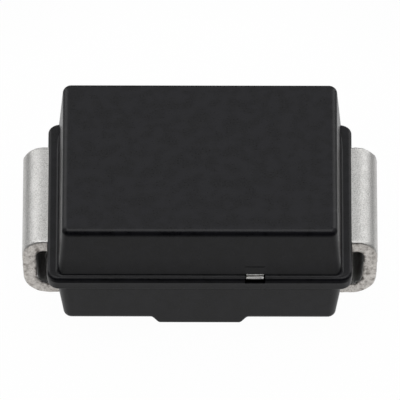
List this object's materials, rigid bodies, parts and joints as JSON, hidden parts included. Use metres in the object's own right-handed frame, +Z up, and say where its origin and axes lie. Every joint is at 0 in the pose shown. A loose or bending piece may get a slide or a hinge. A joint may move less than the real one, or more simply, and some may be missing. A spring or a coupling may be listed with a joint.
{
  "type": "tvs diode",
  "caption": "Surface-mount transient suppressor diode: black moulded resin case with a parting rim and two tinned leads folded under it",
  "frame": {"origin": "On the circuit board plane, under the middle of the upper half of the case", "axes": "X along the leads with the tie bar side towards +X, Y across the case with the front at -Y, Z up from the board"},
  "size_m": [0.0054, 0.0033, 0.002],
  "materials": {
    "mould_resin": "satin black epoxy moulding compound, finely grained",
    "tinned_copper": "matte tin plating over copper, finely grained, with sheared edges",
    "silicon": "dark grey silicon",
    "solder": "dull solder"
  },
  "bodies": {
    "root": {"moulded_body": "mould_resin", "paddle_lead": "tinned_copper", "clip_lead": "tinned_copper", "silicon_die": "silicon", "die_solder": "solder", "clip_solder": "solder"}
  },
  "joints": []
}
